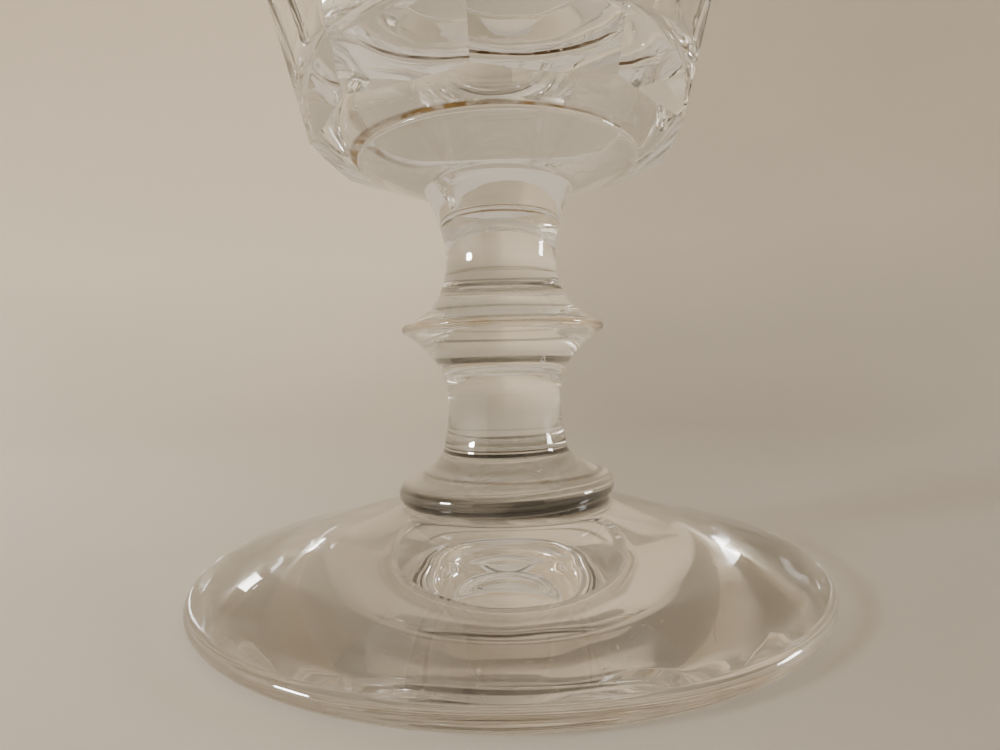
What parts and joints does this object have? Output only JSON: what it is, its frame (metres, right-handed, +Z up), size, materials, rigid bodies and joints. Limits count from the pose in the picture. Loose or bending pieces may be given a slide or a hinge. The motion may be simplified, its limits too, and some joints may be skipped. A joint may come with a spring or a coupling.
{
  "type": "wine glass",
  "caption": "Short-stemmed clear wine glass: bucket bowl with flat-cut panels, button collar, bladed knop stem, flattened base knop and low conical foot.",
  "frame": {"origin": "centre of the foot's resting plane", "axes": "+Z up along the glass's axis, towards the rim; +X and +Y lie in the resting plane"},
  "size_m": [0.062, 0.062, 0.1],
  "materials": {
    "bowl_glass": "clear lead glass, wheel-cut and polished panels",
    "stem_glass": "clear lead glass, fire-polished and tooled",
    "foot_glass": "clear lead glass, fire-polished, with fine wear and old marks"
  },
  "bodies": {
    "root": {"bowl": "bowl_glass", "bowl_collar": "stem_glass", "upper_stem": "stem_glass", "blade_knop": "stem_glass", "lower_stem": "stem_glass", "base_knop": "stem_glass", "foot": "foot_glass"}
  },
  "joints": []
}
